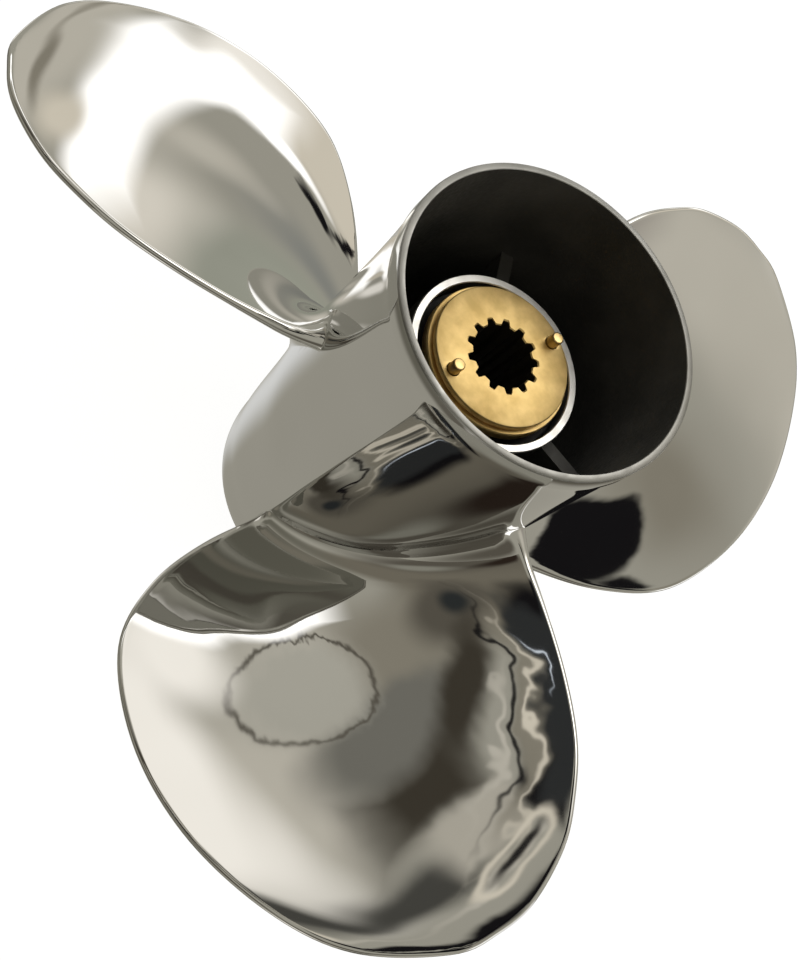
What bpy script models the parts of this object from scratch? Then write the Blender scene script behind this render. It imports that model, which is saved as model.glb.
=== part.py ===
# Propeller of an outboard motor with its exhaust through the hub: 342 mm in diameter,
# 327 mm in pitch, three blades, right-handed. Barrel, blades, inner tube and ribs are one
# stainless steel casting. A rubber bush in the inner tube carries a splined brass bush.
#
# Metres. +Z is the shaft axis and points aft, to the exhaust mouth. The origin is the
# propeller's centre of mass, on the shaft axis. Heights below are taken from the hub's
# forward end face, on which the propeller stands.

import math

import bmesh
import bpy
from mathutils import Vector

# Driving dimensions

BALANCE_HEIGHT = 0.0655
RUNNING_GAP = 0.0003
ROUND_STEPS = 72
SHARP_ANGLE = math.radians(30.0)

# Barrel: heights and radii of its outer and its inner side, from the mouth forward.
MOUTH_HEIGHT = 0.1473
RIM_RADIUS = 0.0500
RIM_EDGE = 0.0003
BARREL_OUTSIDE = [(0.1410, 0.0500), (0.1325, 0.0491), (0.1120, 0.0484), (0.0850, 0.0482),
                  (0.0600, 0.0480), (0.0400, 0.0467), (0.0200, 0.0455), (0.0060, 0.0442)]
FORWARD_EDGE_RADIUS = 0.0425
BARREL_INSIDE = [(0.0000, 0.0393), (0.0200, 0.0412), (0.0600, 0.0438), (0.1120, 0.0452),
                 (MOUTH_HEIGHT, 0.0477)]

# Inner tube and the three ribs that carry it
TUBE_BOTTOM = 0.0080
TUBE_TOP = 0.1150
TUBE_RADIUS = 0.02945
TUBE_BORE_RADIUS = 0.0274
RIB_BOTTOM = 0.0140
RIB_TOP = 0.1080
RIB_THICKNESS = 0.0045
RIB_INNER_END = 0.0284
RIB_OUTER_END_BOTTOM = 0.0430
RIB_OUTER_END_TOP = 0.0466

# Blades
BLADE_COUNT = 3
FIRST_BLADE_AZIMUTH = math.radians(-56.6)
TIP_RADIUS = 0.1709
PITCH = 0.3273
BLADE_ROOT_RADIUS = 0.0460
BLADE_ROOT_HEIGHT = 0.0462
# Rise of the driving face for each span unit out from the blade's root, then how much of
# it is lost again with the square of that distance, with the turn, and the ends' upward curl.
SPAN_UNIT = 0.1
RAKE = 0.0291
RAKE_EASE = -0.0043
PITCH_EASE = -0.0063
CURL = 0.0236
CURL_EASE = -0.0024
# Close to the hub the trailing end sweeps up further, out to this distance from the root.
SWEEP = 0.0110
SWEEP_REACH = 0.0180

# Blade outline seen along the shaft: distance to the side of the blade's centre line and
# distance out from the shaft, from the trailing root round the tip to the leading root.
BLADE_OUTLINE = [(0.0284, 0.0367), (0.0330, 0.0430), (0.0430, 0.0600), (0.0530, 0.0800),
                 (0.0600, 0.1020), (0.0620, 0.1190), (0.0560, 0.1468), (0.0364, 0.1652),
                 (0.0100, 0.1705), (-0.0140, 0.1650), (-0.0395, 0.1500), (-0.0585, 0.1280),
                 (-0.0683, 0.1000), (-0.0625, 0.0750), (-0.0485, 0.0520), (-0.0303, 0.0309)]
TIP_STATION = 8
EDGE_RADIUS = 0.0012
ROOT_THICKNESS = 0.0085
TIP_THICKNESS = 0.0032
THICKENING_WIDTH = 0.0550
FILLET_HEIGHT = 0.0080
FILLET_WIDTH = 0.0055
FILLET_SHARE_AT_ENDS = 0.12
HUB_RADIUS_AT_LEADING_ROOT = 0.0455
HUB_RADIUS_AT_TRAILING_ROOT = 0.0482
ROOT_ROWS = [0.0, 0.012, 0.022, 0.036, 0.060]
SPAN_STEPS = 24
CHORD_STEPS = 14
OUTLINE_STEPS = 8

# Rubber bush
RUBBER_BOTTOM = 0.0240
RUBBER_TOP = 0.1090

# Brass bush: a sleeve with a stepped flange at its aft end
BUSH_BOTTOM = 0.0200
SLEEVE_RADIUS = 0.0165
FLANGE_BOTTOM = 0.1130
FLANGE_RADIUS = 0.0245
FLANGE_STEP = 0.1168
GROOVE_TOP = 0.1176
GROOVE_RADIUS = 0.0224
FACE_HEIGHT = 0.1197
FACE_RADIUS = 0.02317
FACE_CHAMFER = 0.0004

# Splined bore
SPLINE_COUNT = 13
SPLINE_MAJOR_RADIUS = 0.0123
SPLINE_MINOR_RADIUS = 0.0103
SPLINE_AZIMUTH = math.radians(19.0)
GROOVE_SHARE_AT_MAJOR = 0.42
GROOVE_SHARE_AT_MINOR = 0.56
SPLINE_OVERRUN = 0.005

# Two pins that stand out of the brass face
PIN_RADIUS = 0.0020
PIN_CIRCLE_RADIUS = 0.0195
PIN_AZIMUTH = math.radians(72.2)
PIN_BOTTOM = 0.1153
PIN_TOP = 0.1237
PIN_ROUNDING = 0.0005
PIN_SIDES = 24


def clear_scene():
    for old in list(bpy.data.objects):
        bpy.data.objects.remove(old, do_unlink=True)


def new_collection(name):
    collection = bpy.data.collections.new(name)
    bpy.context.scene.collection.children.link(collection)
    return collection


def finish_material(name, colour, metallic, roughness):
    material = bpy.data.materials.new(name)
    material.use_nodes = True
    shader = material.node_tree.nodes["Principled BSDF"]
    shader.inputs["Base Color"].default_value = (*colour, 1.0)
    shader.inputs["Metallic"].default_value = metallic
    shader.inputs["Roughness"].default_value = roughness
    return material


def place(mesh, name, collection, axis_empty):
    """Put a mesh in the propeller's frame; its heights start at the forward end face."""
    piece = bpy.data.objects.new(name, mesh)
    piece.parent = axis_empty
    collection.objects.link(piece)
    return piece


def as_guide(piece):
    piece.hide_render = True
    piece.display_type = "WIRE"
    return piece


def turned_mesh(name, profile, closed):
    """Profile of (height, radius) points, down the outer side first."""
    mesh = bpy.data.meshes.new(name)
    points = [(radius, 0.0, height) for height, radius in profile]
    edges = [(i, i + 1) for i in range(len(points) - 1)]
    if closed:
        edges.append((len(points) - 1, 0))
    mesh.from_pydata(points, edges, [])
    return mesh


def add_screw(piece, steps):
    screw = piece.modifiers.new("turn", "SCREW")
    screw.steps = steps
    screw.render_steps = steps
    screw.use_merge_vertices = True
    screw.merge_threshold = 0.00001
    screw.use_smooth_shade = True


def add_boolean(piece, other, operation):
    boolean = piece.modifiers.new(other.name, "BOOLEAN")
    boolean.operation = operation
    boolean.solver = "EXACT"
    boolean.object = other


def smooth_curve(stations, steps):
    """Catmull-Rom curve through two-number stations, with steps pieces a span."""
    ends = [stations[0], *stations, stations[-1]]
    path = []
    for i in range(len(stations) - 1):
        a, b, c, d = (Vector(p) for p in ends[i:i + 4])
        for k in range(steps):
            t = k / steps
            path.append(0.5 * (2.0 * b + (c - a) * t + (2.0 * a - 5.0 * b + 4.0 * c - d) * t ** 2
                               + (3.0 * b - a - 3.0 * c + d) * t ** 3))
    path.append(Vector(stations[-1]))
    return path


# Barrel, inner tube and ribs

def barrel_profile():
    outside = [tuple(p) for p in smooth_curve(BARREL_OUTSIDE, 2)]
    inside = [tuple(p) for p in smooth_curve(BARREL_INSIDE, 2)]
    rim = [(MOUTH_HEIGHT, RIM_RADIUS - RIM_EDGE), (MOUTH_HEIGHT - RIM_EDGE, RIM_RADIUS)]
    forward_edge = [(0.0, FORWARD_EDGE_RADIUS)]
    return rim + outside + forward_edge + inside


def tube_profile():
    return [(TUBE_TOP, TUBE_RADIUS), (TUBE_BOTTOM, TUBE_RADIUS),
            (TUBE_BOTTOM, TUBE_BORE_RADIUS), (TUBE_TOP, TUBE_BORE_RADIUS)]


def rib_mesh(azimuth):
    """A flat web between tube and barrel; its outer end follows the barrel's taper."""
    work = bmesh.new()
    bmesh.ops.create_cube(work, size=1.0)
    for vertex in work.verts:
        upper = vertex.co.z > 0.0
        outer_end = RIB_OUTER_END_TOP if upper else RIB_OUTER_END_BOTTOM
        out = outer_end if vertex.co.x > 0.0 else RIB_INNER_END
        side = math.copysign(RIB_THICKNESS / 2.0, vertex.co.y)
        height = RIB_TOP if upper else RIB_BOTTOM
        vertex.co = Vector((out * math.cos(azimuth) - side * math.sin(azimuth),
                            out * math.sin(azimuth) + side * math.cos(azimuth), height))
    mesh = bpy.data.meshes.new("rib")
    work.to_mesh(mesh)
    work.free()
    return mesh


# Blades

def face_height(radius, angle):
    """Height of the blade's driving face: a helix with rake, curled up at both edges."""
    out = (radius - BLADE_ROOT_RADIUS) / SPAN_UNIT
    helix = PITCH * angle / math.tau + PITCH_EASE * out * angle
    lean = RAKE * out + RAKE_EASE * out ** 2
    near_hub = max(1.0 - (radius - BLADE_ROOT_RADIUS) / SWEEP_REACH, 0.0)
    curl = (CURL + CURL_EASE * out) * angle ** 2 + SWEEP * near_hub ** 2 * max(angle, 0.0) ** 2
    return BLADE_ROOT_HEIGHT + helix + lean + curl


def helix_lean(radius, angle):
    """Rise of the driving face along the circle, as sine and cosine of its pitch angle."""
    step = 0.001
    rise = (face_height(radius, angle + step) - face_height(radius, angle - step)) / (2.0 * step)
    length = math.hypot(radius, rise)
    return rise / length, radius / length


def face_point(radius, angle):
    return Vector((radius * math.sin(angle), radius * math.cos(angle), face_height(radius, angle)))


def blade_edges():
    """Trailing and leading edge as (radius, angle) points, both from the root to the tip."""
    def polar(path):
        return [(p.length, math.atan2(p.x, p.y)) for p in path]
    outline = smooth_curve(BLADE_OUTLINE, OUTLINE_STEPS)
    tip = TIP_STATION * OUTLINE_STEPS
    return polar(outline[:tip + 1]), polar(outline[tip:][::-1])


def along(edge, share):
    """Point at a share of an edge's length."""
    points = [face_point(r, a) for r, a in edge]
    lengths = [0.0]
    for p, q in zip(points, points[1:]):
        lengths.append(lengths[-1] + (q - p).length)
    wanted = share * lengths[-1]
    for i in range(len(edge) - 1):
        if wanted <= lengths[i + 1]:
            t = (wanted - lengths[i]) / (lengths[i + 1] - lengths[i])
            (r0, a0), (r1, a1) = edge[i], edge[i + 1]
            return r0 + (r1 - r0) * t, a0 + (a1 - a0) * t
    return edge[-1]


def fillet_flare(height_above_hub):
    """Sideways growth of the blade's foot in its fillet, at a height above the hub."""
    return FILLET_WIDTH * max(1.0 - height_above_hub / FILLET_HEIGHT, 0.0) ** 2


def distance_to_edges(point, edge_points):
    nearest = 1.0
    for p, q in zip(edge_points, edge_points[1:]):
        run = q - p
        if run.length > 0.0:
            t = min(max((point - p).dot(run) / run.length_squared, 0.0), 1.0)
            nearest = min(nearest, (point - p - run * t).length)
    return nearest


def full_thickness(radius, distance):
    share = min(max((radius - BLADE_ROOT_RADIUS) / (TIP_RADIUS - BLADE_ROOT_RADIUS), 0.0), 1.0)
    thickest = ROOT_THICKNESS + (TIP_THICKNESS - ROOT_THICKNESS) * share
    inward = min(max(distance / THICKENING_WIDTH, 0.0), 1.0)
    return 2.0 * EDGE_RADIUS + (thickest - 2.0 * EDGE_RADIUS) * inward ** 2 * (3.0 - 2.0 * inward)


def face_offsets(radius, distance, flare):
    """Offsets of driving face and back from the helix, which meets the round edge's middle."""
    edge_radius = EDGE_RADIUS + flare
    if distance < edge_radius:
        bulge = math.sqrt(edge_radius ** 2 - (edge_radius - distance) ** 2)
        return bulge, -bulge
    return edge_radius, edge_radius - full_thickness(radius, distance - edge_radius) - 2.0 * flare


def section_row(span_share, edges):
    """One row of (radius, angle, flare) across the blade, from leading to trailing edge."""
    trailing_r, trailing_a = along(edges[0], span_share)
    leading_r, leading_a = along(edges[1], span_share)
    row = []
    for j in range(CHORD_STEPS + 1):
        c = 0.5 - 0.5 * math.cos(math.pi * j / CHORD_STEPS)
        radius = leading_r + (trailing_r - leading_r) * c
        hub = (HUB_RADIUS_AT_LEADING_ROOT
               + (HUB_RADIUS_AT_TRAILING_ROOT - HUB_RADIUS_AT_LEADING_ROOT) * c)
        fullness = FILLET_SHARE_AT_ENDS + (1.0 - FILLET_SHARE_AT_ENDS) * math.sin(math.pi * c) ** 4
        flare = fillet_flare(radius - hub) * fullness
        angle = leading_a + (trailing_a - leading_a) * c
        cosine = helix_lean(radius, angle)[1]
        angle += (2.0 * c - 1.0) * flare * cosine / radius
        row.append((radius, angle, flare))
    return row


def span_shares():
    """Rows crowd towards the root's fillet and the tip, and stop just short of the tip."""
    fillet_end = ROOT_ROWS[-1]
    rest = SPAN_STEPS - len(ROOT_ROWS)
    quarter_turn = math.pi / 2.0
    shares = list(ROOT_ROWS)
    for i in range(1, rest + 1):
        shares.append(fillet_end + (1.0 - fillet_end) * math.sin(quarter_turn * i / (rest + 0.35)))
    return shares


def blade_mesh(azimuth):
    """Loft of the blade's sections, from inside the barrel's wall to a point at the tip."""
    edges = blade_edges()
    rows = [section_row(share, edges) for share in span_shares()]
    edge_points = [face_point(r, a) for r, a, _ in (row[0] for row in rows)]
    tip_radius, tip_angle = edges[0][-1]
    edge_points.append(face_point(tip_radius, tip_angle))
    edge_points += [face_point(r, a) for r, a, _ in (row[-1] for row in reversed(rows))]

    def vertex(work, radius, angle, offset):
        sine, cosine = helix_lean(radius, angle)
        turned = azimuth + angle - offset * sine / radius
        return work.verts.new((radius * math.cos(turned), radius * math.sin(turned),
                               face_height(radius, angle) + offset * cosine))

    work = bmesh.new()
    front_rows = []
    back_rows = []
    for row in rows:
        front = []
        back = []
        for j, (radius, angle, flare) in enumerate(row):
            if j in (0, CHORD_STEPS):
                distance = 0.0
            else:
                distance = distance_to_edges(face_point(radius, angle), edge_points)
            up, down = face_offsets(radius, distance, flare)
            front.append(vertex(work, radius, angle, up))
            back.append(front[-1] if distance == 0.0 else vertex(work, radius, angle, down))
        front_rows.append(front)
        back_rows.append(back)
    tip = vertex(work, tip_radius, tip_angle, 0.0)

    for i in range(len(rows) - 1):
        for j in range(CHORD_STEPS):
            work.faces.new((front_rows[i][j], front_rows[i + 1][j],
                            front_rows[i + 1][j + 1], front_rows[i][j + 1]))
            work.faces.new((back_rows[i][j], back_rows[i][j + 1],
                            back_rows[i + 1][j + 1], back_rows[i + 1][j]))
    for j in range(CHORD_STEPS):
        work.faces.new((front_rows[-1][j], tip, front_rows[-1][j + 1]))
        work.faces.new((back_rows[-1][j], back_rows[-1][j + 1], tip))
        foot = [front_rows[0][j], front_rows[0][j + 1], back_rows[0][j + 1], back_rows[0][j]]
        work.faces.new(list(dict.fromkeys(foot)))
    bmesh.ops.triangulate(work, faces=work.faces)
    bmesh.ops.recalc_face_normals(work, faces=work.faces)
    mesh = bpy.data.meshes.new("blade")
    work.to_mesh(mesh)
    work.free()
    mesh.shade_smooth()
    mesh.set_sharp_from_angle(angle=SHARP_ANGLE)
    return mesh


def make_casting(parts, guides, axis_empty, material):
    profile = turned_mesh("casting", barrel_profile(), closed=True)
    casting = place(profile, "propeller_casting", parts, axis_empty)
    add_screw(casting, ROUND_STEPS)
    tube = place(turned_mesh("tube", tube_profile(), closed=True), "inner_tube", guides, axis_empty)
    add_screw(tube, ROUND_STEPS)
    joined = [tube]
    for k in range(BLADE_COUNT):
        azimuth = FIRST_BLADE_AZIMUTH + math.tau * k / BLADE_COUNT
        rib_azimuth = azimuth + math.pi / BLADE_COUNT
        joined.append(place(rib_mesh(rib_azimuth), f"rib_{k + 1}", guides, axis_empty))
        joined.append(place(blade_mesh(azimuth), f"blade_{k + 1}", guides, axis_empty))
    for other in joined:
        add_boolean(casting, as_guide(other), "UNION")
    casting.data.materials.append(material)
    return casting


# Rubber bush

def make_rubber_bush(parts, axis_empty, material):
    outer = TUBE_BORE_RADIUS - RUNNING_GAP
    inner = SLEEVE_RADIUS + RUNNING_GAP
    profile = [(RUBBER_TOP, outer), (RUBBER_BOTTOM, outer), (RUBBER_BOTTOM, inner), (RUBBER_TOP, inner)]
    bush = place(turned_mesh("rubber", profile, closed=True), "rubber_bush", parts, axis_empty)
    add_screw(bush, ROUND_STEPS)
    bush.data.materials.append(material)
    return bush


# Brass bush

def bush_profile():
    return [(FACE_HEIGHT, 0.0), (FACE_HEIGHT, FACE_RADIUS - FACE_CHAMFER),
            (FACE_HEIGHT - FACE_CHAMFER, FACE_RADIUS), (GROOVE_TOP, FACE_RADIUS),
            (GROOVE_TOP, GROOVE_RADIUS), (FLANGE_STEP, GROOVE_RADIUS),
            (FLANGE_STEP, FLANGE_RADIUS), (FLANGE_BOTTOM, FLANGE_RADIUS),
            (FLANGE_BOTTOM, SLEEVE_RADIUS), (BUSH_BOTTOM, SLEEVE_RADIUS), (BUSH_BOTTOM, 0.0)]


def spline_mesh():
    """Cutter for the splined bore: a cylinder whose points stand at the grooves' corners."""
    work = bmesh.new()
    depth = FACE_HEIGHT - BUSH_BOTTOM + 2.0 * SPLINE_OVERRUN
    bmesh.ops.create_cone(work, segments=4 * SPLINE_COUNT, cap_ends=True, cap_tris=False,
                          radius1=SPLINE_MAJOR_RADIUS, radius2=SPLINE_MAJOR_RADIUS, depth=depth)
    pitch_angle = math.tau / SPLINE_COUNT
    corners = [(-GROOVE_SHARE_AT_MAJOR / 2.0, SPLINE_MAJOR_RADIUS),
               (GROOVE_SHARE_AT_MAJOR / 2.0, SPLINE_MAJOR_RADIUS),
               (GROOVE_SHARE_AT_MINOR / 2.0, SPLINE_MINOR_RADIUS),
               (1.0 - GROOVE_SHARE_AT_MINOR / 2.0, SPLINE_MINOR_RADIUS)]
    for vertex in work.verts:
        step = round(math.atan2(vertex.co.y, vertex.co.x) / (pitch_angle / 4.0)) % (4 * SPLINE_COUNT)
        share, radius = corners[step % 4]
        angle = SPLINE_AZIMUTH + pitch_angle * (step // 4 + share)
        height = FACE_HEIGHT + SPLINE_OVERRUN if vertex.co.z > 0.0 else BUSH_BOTTOM - SPLINE_OVERRUN
        vertex.co = Vector((radius * math.cos(angle), radius * math.sin(angle), height))
    mesh = bpy.data.meshes.new("spline")
    work.to_mesh(mesh)
    work.free()
    return mesh


def round_bar(name, radius, bottom, top):
    work = bmesh.new()
    bmesh.ops.create_cone(work, segments=PIN_SIDES, cap_ends=True, cap_tris=False,
                          radius1=radius, radius2=radius, depth=top - bottom)
    bmesh.ops.translate(work, verts=work.verts, vec=(0.0, 0.0, (top + bottom) / 2.0))
    mesh = bpy.data.meshes.new(name)
    work.to_mesh(mesh)
    work.free()
    return mesh


def pin_place(number):
    """The pins stand opposite each other."""
    azimuth = PIN_AZIMUTH + math.pi * (number - 1)
    return Vector((PIN_CIRCLE_RADIUS * math.cos(azimuth), PIN_CIRCLE_RADIUS * math.sin(azimuth), 0.0))


def make_brass_bush(parts, guides, axis_empty, material):
    bush = place(turned_mesh("bush", bush_profile(), closed=False), "splined_bush", parts, axis_empty)
    add_screw(bush, ROUND_STEPS)
    cutter = as_guide(place(spline_mesh(), "spline_cutter", guides, axis_empty))
    add_boolean(bush, cutter, "DIFFERENCE")
    for k in range(2):
        hole = round_bar("pin_hole", PIN_RADIUS + RUNNING_GAP, PIN_BOTTOM - RUNNING_GAP, PIN_TOP)
        drill = as_guide(place(hole, f"pin_drill_{k + 1}", guides, axis_empty))
        drill.location = pin_place(k + 1)
        add_boolean(bush, drill, "DIFFERENCE")
    bush.data.materials.append(material)
    return bush


def make_pin(number, parts, axis_empty, material):
    pin = place(round_bar("pin", PIN_RADIUS, PIN_BOTTOM, PIN_TOP), f"pin_{number}", parts, axis_empty)
    pin.location = pin_place(number)
    rounding = pin.modifiers.new("rounding", "BEVEL")
    rounding.width = PIN_ROUNDING
    rounding.segments = 2
    rounding.limit_method = "ANGLE"
    pin.data.materials.append(material)
    pin.data.shade_smooth()
    pin.data.set_sharp_from_angle(angle=SHARP_ANGLE)
    return pin


clear_scene()
parts = new_collection("outboard_propeller")
guides = new_collection("construction")
shaft_axis = bpy.data.objects.new("shaft_axis", None)
shaft_axis.location = (0.0, 0.0, -BALANCE_HEIGHT)
parts.objects.link(shaft_axis)

steel = finish_material("polished_steel", (0.62, 0.61, 0.60), 1.0, 0.12)
rubber = finish_material("black_rubber", (0.02, 0.02, 0.02), 0.0, 0.75)
brass = finish_material("brass", (0.78, 0.57, 0.22), 1.0, 0.32)
pin_brass = finish_material("pin_brass", (0.70, 0.50, 0.20), 1.0, 0.35)

make_casting(parts, guides, shaft_axis, steel)
make_rubber_bush(parts, shaft_axis, rubber)
make_brass_bush(parts, guides, shaft_axis, brass)
for pin_number in (1, 2):
    make_pin(pin_number, parts, shaft_axis, pin_brass)
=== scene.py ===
# Stainless steel outboard propeller with its exhaust through the hub, dressed around the
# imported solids. Metres; +Z is the shaft axis and points aft, to the exhaust mouth.

import math

import bpy
import numpy as np
from mathutils import Euler, Matrix, Vector


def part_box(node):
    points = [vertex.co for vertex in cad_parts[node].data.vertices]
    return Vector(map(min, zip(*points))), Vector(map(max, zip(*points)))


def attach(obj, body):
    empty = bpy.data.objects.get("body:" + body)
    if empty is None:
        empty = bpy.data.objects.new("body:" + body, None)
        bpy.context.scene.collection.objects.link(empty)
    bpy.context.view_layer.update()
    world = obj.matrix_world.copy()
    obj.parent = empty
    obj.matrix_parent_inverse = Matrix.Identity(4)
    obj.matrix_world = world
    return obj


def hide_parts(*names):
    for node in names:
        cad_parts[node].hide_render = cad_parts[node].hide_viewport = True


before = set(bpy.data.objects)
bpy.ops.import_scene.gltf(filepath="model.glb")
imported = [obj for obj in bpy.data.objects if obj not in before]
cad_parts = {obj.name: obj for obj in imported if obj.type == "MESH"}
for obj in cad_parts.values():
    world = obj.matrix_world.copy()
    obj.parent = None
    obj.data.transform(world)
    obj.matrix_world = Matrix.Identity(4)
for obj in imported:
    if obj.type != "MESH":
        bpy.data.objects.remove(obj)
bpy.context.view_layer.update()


# Viewpoint. The photograph looks down on the mouth from about 50 degrees, held at a slant,
# so the shaft leans to the upper right of the picture.
camera_data = bpy.data.cameras.new("photo_view")
camera_data.lens = 54.11
camera_data.shift_x = -0.0703
camera_data.shift_y = -0.0169
camera = bpy.data.objects.new("photo_view", camera_data)
camera.location = (-0.00133, -0.28433, 0.38422)
camera.rotation_euler = Euler([math.radians(turn) for turn in (22.998, -29.877, 45.145)], "XYZ")
bpy.context.scene.collection.objects.link(camera)
bpy.context.scene.camera = camera


# Barrel. The hollow hub that carries the blades and lets the exhaust out: part of the one
# investment casting, mirror polished outside, as cast and blackened inside, with a mouth
# that flares a little and ends in a turned lip.
forward_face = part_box("propeller_casting")[0].z
hub_outside = [(0.0000, 0.0436), (0.0030, 0.0441), (0.0100, 0.0446), (0.0200, 0.0455),
               (0.0400, 0.0467), (0.0600, 0.0480), (0.0850, 0.0482), (0.1120, 0.0484),
               (0.1325, 0.0491), (0.1410, 0.0500)]
hub_inside = [(0.1455, 0.0476), (0.1120, 0.0452), (0.0600, 0.0438), (0.0200, 0.0412),
              (0.0000, 0.0393)]
mouth_lip = [(0.1466, 0.0500), (0.1471, 0.04985), (0.1473, 0.0495), (0.1473, 0.0479),
             (0.1471, 0.0477)]
forward_edge = [(0.0000, 0.0396), (0.0000, 0.0433)]


def curve_through(points, steps):
    """Smooth curve through two-number points, with steps pieces between each two."""
    rows = np.array([points[0], *points, points[-1]])
    path = []
    for a, b, c, d in zip(rows, rows[1:], rows[2:], rows[3:]):
        for k in range(steps):
            t = k / steps
            path.append(0.5 * (2 * b + (c - a) * t + (2 * a - 5 * b + 4 * c - d) * t ** 2
                               + (3 * b - a - 3 * c + d) * t ** 3))
    path.append(rows[-1])
    return np.array(path)


hub_curve = curve_through(hub_outside, 6)


def turn_profile(name, profile, sides):
    """A circle is extruded and resized from each (height, radius) of the profile to the next."""
    height, radius = profile[0]
    bpy.ops.object.select_all(action="DESELECT")
    bpy.ops.mesh.primitive_circle_add(vertices=sides, radius=radius)
    piece = bpy.context.object
    piece.name = name
    bpy.ops.object.mode_set(mode="EDIT")
    bpy.ops.mesh.select_all(action="SELECT")
    bpy.ops.transform.translate(value=(0, 0, forward_face + height))
    for next_height, next_radius in profile[1:]:
        rise = (0, 0, next_height - height)
        bpy.ops.mesh.extrude_region_move(TRANSFORM_OT_translate={"value": rise})
        scale = next_radius / radius
        bpy.ops.transform.resize(value=(scale, scale, 1),
                                 center_override=(0, 0, forward_face + next_height))
        height, radius = next_height, next_radius
    bpy.ops.mesh.select_all(action="SELECT")
    bpy.ops.mesh.remove_doubles(threshold=0.00001)
    bpy.ops.mesh.normals_make_consistent(inside=False)
    bpy.ops.object.mode_set(mode="OBJECT")
    return piece


inside_curve = curve_through(hub_inside, 5)
barrel_profile = [tuple(p) for p in hub_curve] + mouth_lip
barrel_profile += [tuple(p) for p in inside_curve] + forward_edge
casting = turn_profile("casting", barrel_profile + barrel_profile[:1], 192)


# Inner tube and ribs. The tube that holds the rubber bush hangs inside the barrel on three
# ribs, all of the same casting; its aft end is faced on a lathe and stays bare steel.
tube_profile = [(0.0082, 0.0290), (0.0095, 0.02945), (0.1146, 0.02945), (0.1150, 0.0291),
                (0.1150, 0.0270), (0.1147, 0.0267), (0.1100, 0.0267), (0.1094, 0.0274),
                (0.0080, 0.0274), (0.0080, 0.0286), (0.0082, 0.0290)]
tube = turn_profile("tube", tube_profile, 144)
first_blade = math.radians(-56.6)
rib_bottom, rib_top, rib_thickness = 0.0140, 0.1080, 0.0045
rib_inner_end, rib_outer_bottom, rib_outer_top = 0.0284, 0.0430, 0.0466
ribs = []
for number in range(3):
    azimuth = first_blade + math.radians(60 + 120 * number)
    bpy.ops.object.select_all(action="DESELECT")
    bpy.ops.mesh.primitive_cube_add(size=1)
    rib = bpy.context.object
    for vertex in rib.data.vertices:
        top = vertex.co.z > 0
        outer = rib_outer_top if top else rib_outer_bottom
        out = outer if vertex.co.x > 0 else rib_inner_end
        height = forward_face + (rib_top if top else rib_bottom)
        vertex.co = Vector((out, math.copysign(rib_thickness / 2, vertex.co.y), height))
    rib.data.transform(Matrix.Rotation(azimuth, 4, "Z"))
    ribs.append(rib)


# Blades. Three broad raked and cupped blades, cast with the hub, ground to a round thin
# edge and mirror polished. The grinding belt leaves slow waves in the surface.
pitch = 0.3273
root_radius, tip_radius = 0.0460, 0.1709
root_height = forward_face + 0.0462
# Outline seen along the shaft, from the trailing root over the tip to the leading root
blade_outline = [(0.0284, 0.0367), (0.0330, 0.0430), (0.0430, 0.0600), (0.0530, 0.0800),
                 (0.0595, 0.0980), (0.0619, 0.1140), (0.0616, 0.1290), (0.0560, 0.1460),
                 (0.0478, 0.1567), (0.0362, 0.1651), (0.0100, 0.1705), (-0.0140, 0.1650),
                 (-0.0395, 0.1500), (-0.0585, 0.1280), (-0.0683, 0.1000), (-0.0625, 0.0750),
                 (-0.0481, 0.0524), (-0.0292, 0.0320)]
tip_station = 10
outline_steps = 10
edge_radius = 0.0012
# Extra radius of the leading and the trailing edge at the hub, and how far out it reaches
root_nose, nose_reach = (0.0030, 0.0016), (0.052, 0.036)
dome_height, dome_at_hub = 0.0070, 0.45
root_thickness, tip_thickness = 0.0085, 0.0032
thickening_width = 0.055
fillet_height, fillet_width, fillet_share_at_ends = 0.0095, 0.0068, 0.12
front_ramp = 0.0060
# Heights above the hub of the rows in the root fillet, distances of the columns from an edge
root_rows = [-0.0009, -0.0004, 0.0, 0.0001, 0.0003, 0.0007, 0.0013, 0.0021, 0.0032, 0.0045,
             0.0060, 0.0077, 0.0095]
edge_columns = [0.0, 0.00006, 0.0002, 0.00045, 0.0008, 0.0012, 0.0018, 0.0027, 0.0042]
middle_columns = 30
span_rows = 66
wave_height, wave_fade = 0.00003, 0.03


def hub_radius(z):
    """Outer radius of the hub at a height in the part's own frame."""
    return np.interp(z - forward_face, hub_curve[:, 0], hub_curve[:, 1])


def face_height(radius, angle):
    """Height of the driving face: a helix with rake, curled up towards both edges."""
    out = (radius - root_radius) / 0.1
    helix = pitch * angle / math.tau - 0.0063 * out * angle
    lean = 0.0291 * out - 0.0043 * out ** 2
    near_hub = np.maximum(1 - (radius - root_radius) / 0.0180, 0)
    curl = (0.0236 - 0.0024 * out) * angle ** 2
    curl = curl + 0.0110 * near_hub ** 2 * np.maximum(angle, 0) ** 2
    return root_height + helix + lean + curl


def face_lean(radius, angle):
    """Rise of the driving face round the shaft, as sine and cosine."""
    step = 0.001
    rise = (face_height(radius, angle + step) - face_height(radius, angle - step)) / (2 * step)
    length = np.hypot(radius, rise)
    return rise / length, radius / length


def face_points(radius, angle):
    """Points of the driving face; the angle counts from +Y, which the outline is drawn along."""
    height = face_height(radius, angle)
    return np.stack([radius * np.sin(angle), radius * np.cos(angle), height], axis=-1)


def edge_line(outline):
    """An edge of the blade from root to tip: radius, angle and length travelled."""
    radius = np.hypot(outline[:, 0], outline[:, 1])
    angle = np.arctan2(outline[:, 0], outline[:, 1])
    steps = np.linalg.norm(np.diff(face_points(radius, angle), axis=0), axis=1)
    return radius, angle, np.concatenate([[0], np.cumsum(steps)])


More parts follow.
